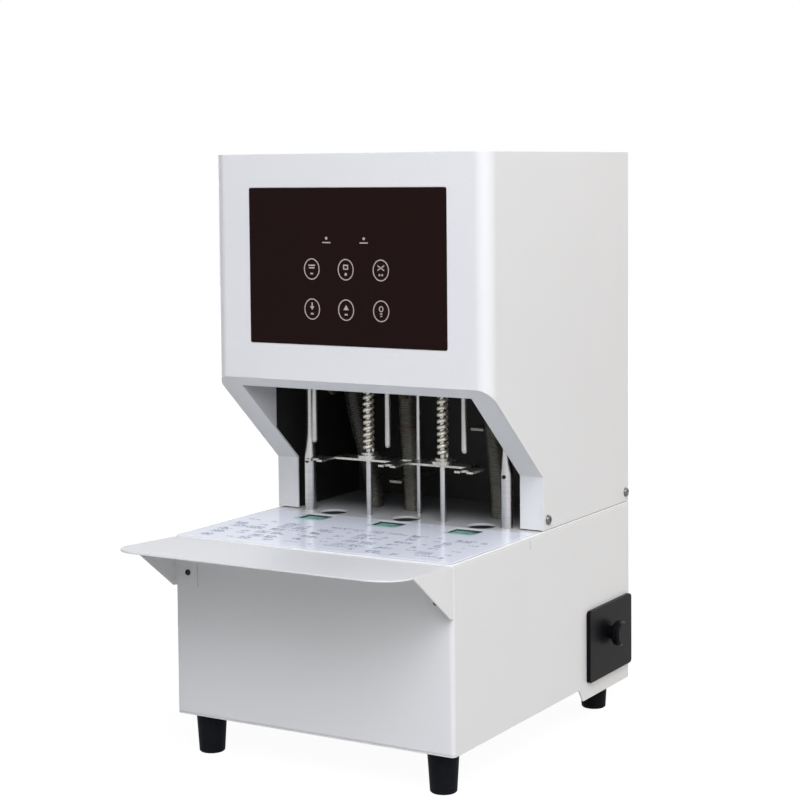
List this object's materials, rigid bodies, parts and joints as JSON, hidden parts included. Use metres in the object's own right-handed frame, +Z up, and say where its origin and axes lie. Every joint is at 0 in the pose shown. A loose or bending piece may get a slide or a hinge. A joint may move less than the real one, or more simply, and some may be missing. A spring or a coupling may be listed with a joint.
{
  "type": "document riveting machine",
  "caption": "Desk machine that drills a row of holes through a stack of paper and closes plastic rivet tubes in them, with guided carriage, press plate and waste drawer.",
  "frame": {"origin": "on the desk, under the middle of the base's width and depth", "axes": "+Z up from the desk, +Y from the operator to the rear of the machine, +X to the operator's right"},
  "size_m": [0.3199, 0.4746, 0.566],
  "materials": {
    "body_paint": "fine-textured semi-matt powder coat on folded sheet steel",
    "table_laminate": "glossy printed wear film",
    "pad_plastic": "moulded polyethylene drilling pads",
    "die_steel": "turned and blackened tool steel",
    "frame_steel": "mill-finish steel plate",
    "liner_paint": "matt black powder coat",
    "carriage_cast": "machined aluminium",
    "guide_steel": "ground and hard-chromed guide steel",
    "plate_zinc": "bright zinc-plated steel",
    "spring_steel": "drawn spring wire",
    "drill_steel": "ground hollow drill steel",
    "spindle_steel": "turned steel",
    "motor_paint": "satin black painted motor case",
    "pulley_metal": "turned aluminium",
    "belt_rubber": "ribbed rubber belt",
    "hose_plastic": "corrugated grey plastic hose",
    "black_plastic": "fine-grained black moulding",
    "foot_rubber": "moulded black rubber",
    "touch_glass": "dark printed touch glass",
    "circuit_laminate": "green solder mask",
    "screw_zinc": "bright zinc-plated screws",
    "head_brass": "turned brass heater tips"
  },
  "bodies": {
    "base": {"base_shell": "body_paint", "base_front_panel": "body_paint", "base_rear_panel": "body_paint", "foot_front_left": "foot_rubber", "foot_front_right": "foot_rubber", "foot_rear_left": "foot_rubber", "foot_rear_right": "foot_rubber", "table_plate": "body_paint", "table_film": "table_laminate", "anvil_block": "frame_steel", "drill_pads": "pad_plastic", "rivet_dies": "die_steel", "front_tray": "body_paint", "tray_screws": "screw_zinc", "frame_plate_left": "frame_steel", "frame_plate_right": "frame_steel", "throat_liner": "liner_paint", "top_deck": "frame_steel", "guide_post_left": "guide_steel", "guide_post_right": "guide_steel", "guide_rod_left": "guide_steel", "guide_rod_right": "guide_steel", "front_cover": "body_paint", "head_cover": "body_paint", "head_rear_panel": "body_paint", "cover_screws": "screw_zinc", "touch_panel": "touch_glass", "control_board": "circuit_laminate", "feed_motor": "motor_paint", "rivet_motor": "motor_paint", "chip_hose_left": "hose_plastic", "chip_hose_middle": "hose_plastic", "chip_hose_right": "hose_plastic", "hose_brackets": "plate_zinc", "chip_chute": "plate_zinc", "drawer_housing": "plate_zinc", "power_inlet": "black_plastic", "power_supply": "plate_zinc"},
    "drill_carriage": {"drill_carriage": "carriage_cast", "drill_motor": "motor_paint", "drill_belt": "belt_rubber", "pull_rod": "guide_steel", "press_springs": "spring_steel"},
    "press_plate": {"press_plate": "plate_zinc", "plate_collars": "plate_zinc"},
    "spindle_left": {"drill_spindle_left": "spindle_steel", "hollow_drill_left": "drill_steel"},
    "spindle_middle": {"drill_spindle_middle": "spindle_steel", "hollow_drill_middle": "drill_steel"},
    "spindle_right": {"drill_spindle_right": "spindle_steel", "hollow_drill_right": "drill_steel"},
    "motor_pulley": {"motor_pulley": "pulley_metal"},
    "feed_screw": {"feed_screw": "guide_steel"},
    "rivet_ram": {"rivet_ram": "frame_steel", "rivet_heads": "head_brass"},
    "ram_screw": {"ram_screw": "guide_steel"},
    "waste_drawer": {"waste_drawer": "black_plastic", "drawer_knob": "black_plastic"},
    "power_switch": {"power_switch": "black_plastic"}
  },
  "joints": [
    {"name": "drill_feed", "type": "slide", "parent": "base", "child": "drill_carriage", "axis": [0, 0, -1], "range_m": [0, 0.0766], "deforming": ["chip_hose_left", "chip_hose_middle", "chip_hose_right"]},
    {"name": "press_plate_lift", "type": "slide", "parent": "drill_carriage", "child": "press_plate", "axis": [0, 0, 1], "range_m": [0, 0.0217], "deforming": ["press_springs"]},
    {"name": "spindle_left_spin", "type": "hinge", "parent": "drill_carriage", "child": "spindle_left", "pos_m": [-0.084, -0.043, 0.35], "axis": [0, 0, 1], "continuous": true},
    {"name": "spindle_middle_spin", "type": "hinge", "parent": "drill_carriage", "child": "spindle_middle", "pos_m": [0, -0.043, 0.35], "axis": [0, 0, 1], "continuous": true},
    {"name": "spindle_right_spin", "type": "hinge", "parent": "drill_carriage", "child": "spindle_right", "pos_m": [0.084, -0.043, 0.35], "axis": [0, 0, 1], "continuous": true},
    {"name": "motor_pulley_spin", "type": "hinge", "parent": "drill_carriage", "child": "motor_pulley", "pos_m": [0.04, -0.043, 0.45], "axis": [0, 0, 1], "continuous": true},
    {"name": "feed_screw_turn", "type": "hinge", "parent": "base", "child": "feed_screw", "pos_m": [-0.031, 0.021, 0.15], "axis": [0, 0, 1], "range_deg": [0, 5516.2]},
    {"name": "rivet_press", "type": "slide", "parent": "base", "child": "rivet_ram", "axis": [0, 0, -1], "range_m": [0, 0.112]},
    {"name": "ram_screw_turn", "type": "hinge", "parent": "base", "child": "ram_screw", "pos_m": [0, 0.014, 0.45], "axis": [0, 0, 1], "range_deg": [0, 8065]},
    {"name": "drawer_slide", "type": "slide", "parent": "base", "child": "waste_drawer", "axis": [1, 0, 0], "range_m": [0, 0.095]},
    {"name": "power_rocker", "type": "hinge", "parent": "base", "child": "power_switch", "pos_m": [-0.069, 0.187, 0.091], "axis": [-1, 0, 0], "range_deg": [0, 16]}
  ],
  "couplings": [
    {"joint": "press_plate_lift", "follows": "drill_feed", "ratio": 0.28329},
    {"joint": "spindle_middle_spin", "follows": "spindle_left_spin", "ratio": 1},
    {"joint": "spindle_right_spin", "follows": "spindle_left_spin", "ratio": 1},
    {"joint": "motor_pulley_spin", "follows": "spindle_left_spin", "ratio": 1},
    {"joint": "feed_screw_turn", "follows": "drill_feed", "rad_per_m": 1256.6},
    {"joint": "ram_screw_turn", "follows": "rivet_press", "rad_per_m": 1256.6}
  ]
}
